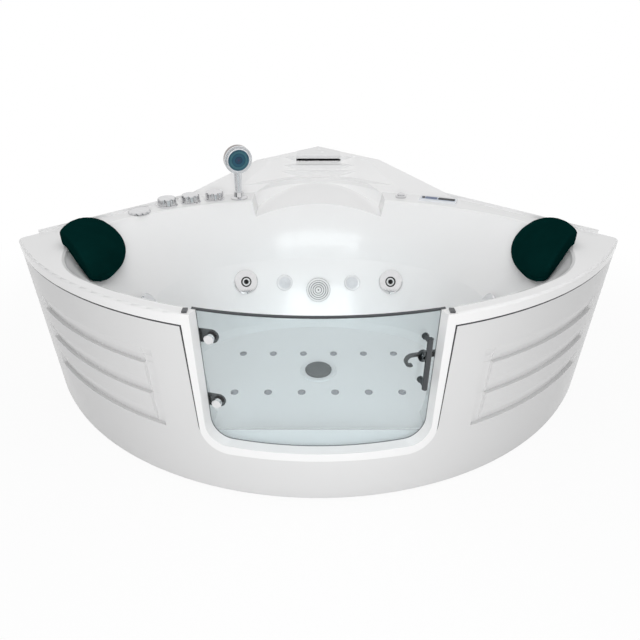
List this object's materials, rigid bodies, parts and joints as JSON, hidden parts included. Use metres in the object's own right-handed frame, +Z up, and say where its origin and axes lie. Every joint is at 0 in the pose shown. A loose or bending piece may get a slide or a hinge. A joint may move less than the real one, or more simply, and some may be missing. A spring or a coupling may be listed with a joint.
{
  "type": "corner jet bathtub",
  "caption": "Quarter-round corner jet bath with an inward-opening curved glass door, waterfall spout, hand shower, jets and head pillows.",
  "frame": {"origin": "centre of the bounding box on the floor", "axes": "+X to the right seen from the front, +Y to the room corner, +Z up"},
  "size_m": [1.897, 1.48, 0.8013],
  "materials": {
    "white_acrylic": "high gloss moulded acrylic",
    "white_skirt": "gloss moulded acrylic apron",
    "clear_seal": "translucent soft door seal",
    "tinted_glass": "clear curved safety glass",
    "dark_edging": "dark edging strip",
    "chrome_hardware": "polished chrome",
    "steel_pin": "stainless steel",
    "chrome_taps": "polished chrome",
    "brass_valve": "raw brass castings",
    "valve_plastic": "white moulded plastic",
    "panel_white": "gloss surround of the control panel",
    "membrane_black": "black touch membrane",
    "chrome_shower": "polished chrome",
    "spray_teal": "blue-green spray face",
    "chrome_jets": "polished chrome",
    "jet_nozzle_plastic": "bright moulded nozzle",
    "lamp_lens": "frosted lamp lens",
    "suction_plastic": "bright moulded grille",
    "pillow_skin": "glossy dark green-blue moulded foam skin",
    "frame_steel": "zinc grey painted square tube",
    "foot_plastic": "black moulded foot",
    "pump_black": "black painted pump housing",
    "pvc_pipe": "white plastic pipe"
  },
  "bodies": {
    "bath": {"tub_shell": "white_acrylic", "front_skirt": "white_skirt", "door_seal": "clear_seal", "hinge_brackets": "chrome_hardware", "hinge_pins": "steel_pin", "latch_keeper": "chrome_hardware", "door_end_clips": "chrome_hardware", "tap_rings": "chrome_hardware", "tap_valves": "brass_valve", "air_regulator_body": "valve_plastic", "air_switch_bezel": "chrome_hardware", "air_switch_body": "valve_plastic", "control_panel": "panel_white", "control_display": "membrane_black", "control_module": "valve_plastic", "shower_holder": "chrome_hardware", "waterfall_spout": "valve_plastic", "spout_cover": "panel_white", "jet_body_left": "chrome_jets", "jet_body_side_left": "chrome_jets", "jet_body_right": "chrome_jets", "jet_body_side_right": "chrome_jets", "lamp_bezels": "chrome_jets", "lamp_lenses": "lamp_lens", "suction_body": "valve_plastic", "suction_cover": "suction_plastic", "floor_injectors": "chrome_jets", "drain_flange": "chrome_jets", "waste_trap": "valve_plastic", "pillow_left": "pillow_skin", "pillow_right": "pillow_skin", "support_frame": "frame_steel", "levelling_feet": "foot_plastic", "water_pump": "pump_black", "air_blower": "pump_black", "water_pipes": "pvc_pipe", "air_pipes": "pvc_pipe", "control_box": "valve_plastic"},
    "door": {"door_glass": "tinted_glass", "door_top_trim": "dark_edging", "hinge_plates": "chrome_hardware", "hinge_caps": "chrome_hardware", "door_pull": "chrome_hardware", "pull_nuts": "chrome_hardware", "latch_base": "chrome_hardware"},
    "latch": {"latch_lever": "chrome_hardware"},
    "hot_knob": {"tap_knob_hot": "chrome_taps"},
    "cold_knob": {"tap_knob_cold": "chrome_taps"},
    "diverter_knob": {"tap_knob_diverter": "chrome_taps"},
    "regulator": {"air_regulator": "chrome_taps"},
    "switch_button": {"air_switch_button": "chrome_taps"},
    "shower": {"hand_shower": "chrome_shower", "shower_face": "spray_teal"},
    "plug": {"drain_plug": "chrome_jets"},
    "nozzle_left": {"jet_nozzle_left": "jet_nozzle_plastic"},
    "nozzle_right": {"jet_nozzle_right": "jet_nozzle_plastic"},
    "nozzle_side_left": {"jet_nozzle_side_left": "jet_nozzle_plastic"},
    "nozzle_side_right": {"jet_nozzle_side_right": "jet_nozzle_plastic"}
  },
  "joints": [
    {"name": "door_swing", "type": "hinge", "parent": "bath", "child": "door", "pos_m": [-0.309, -0.64306, 0.45], "axis": [0, 0, 1], "range_deg": [0, 90]},
    {"name": "latch_turn", "type": "hinge", "parent": "door", "child": "latch", "pos_m": [0.266, -0.6688, 0.458], "axis": [0.2437, -0.9699, 0], "range_deg": [0, 90]},
    {"name": "hot_turn", "type": "hinge", "parent": "bath", "child": "hot_knob", "pos_m": [-0.564, 0.113, 0.595], "axis": [0, 0, 1], "range_deg": [0, 90]},
    {"name": "cold_turn", "type": "hinge", "parent": "bath", "child": "cold_knob", "pos_m": [-0.486, 0.155, 0.595], "axis": [0, 0, 1], "range_deg": [0, 90]},
    {"name": "diverter_turn", "type": "hinge", "parent": "bath", "child": "diverter_knob", "pos_m": [-0.402, 0.191, 0.595], "axis": [0, 0, 1], "range_deg": [-60, 60]},
    {"name": "regulator_turn", "type": "hinge", "parent": "bath", "child": "regulator", "pos_m": [-0.643, 0.032, 0.595], "axis": [0, 0, 1], "range_deg": [-90, 90]},
    {"name": "switch_press", "type": "slide", "parent": "bath", "child": "switch_button", "axis": [0, 0, -1], "range_m": [0, 0.004], "stiffness_N_per_m": 400},
    {"name": "shower_lift", "type": "slide", "parent": "bath", "child": "shower", "axis": [0, 0, 1], "range_m": [0, 0.12]},
    {"name": "plug_lift", "type": "slide", "parent": "bath", "child": "plug", "axis": [0, 0, 1], "range_m": [0, 0.014]},
    {"name": "nozzle_left_turn", "type": "hinge", "parent": "bath", "child": "nozzle_left", "pos_m": [-0.28346, 0.05771, 0.30272], "axis": [0.3137, -0.8545, 0.414], "range_deg": [0, 90]},
    {"name": "nozzle_side_left_turn", "type": "hinge", "parent": "bath", "child": "nozzle_side_left", "pos_m": [-0.56169, -0.24509, 0.36187], "axis": [0.9105, -0.0194, 0.413], "range_deg": [0, 90]},
    {"name": "nozzle_right_turn", "type": "hinge", "parent": "bath", "child": "nozzle_right", "pos_m": [0.28346, 0.05771, 0.30272], "axis": [-0.3137, -0.8545, 0.414], "range_deg": [0, 90]},
    {"name": "nozzle_side_right_turn", "type": "hinge", "parent": "bath", "child": "nozzle_side_right", "pos_m": [0.56169, -0.24509, 0.36187], "axis": [-0.9105, -0.0194, 0.413], "range_deg": [0, 90]}
  ]
}
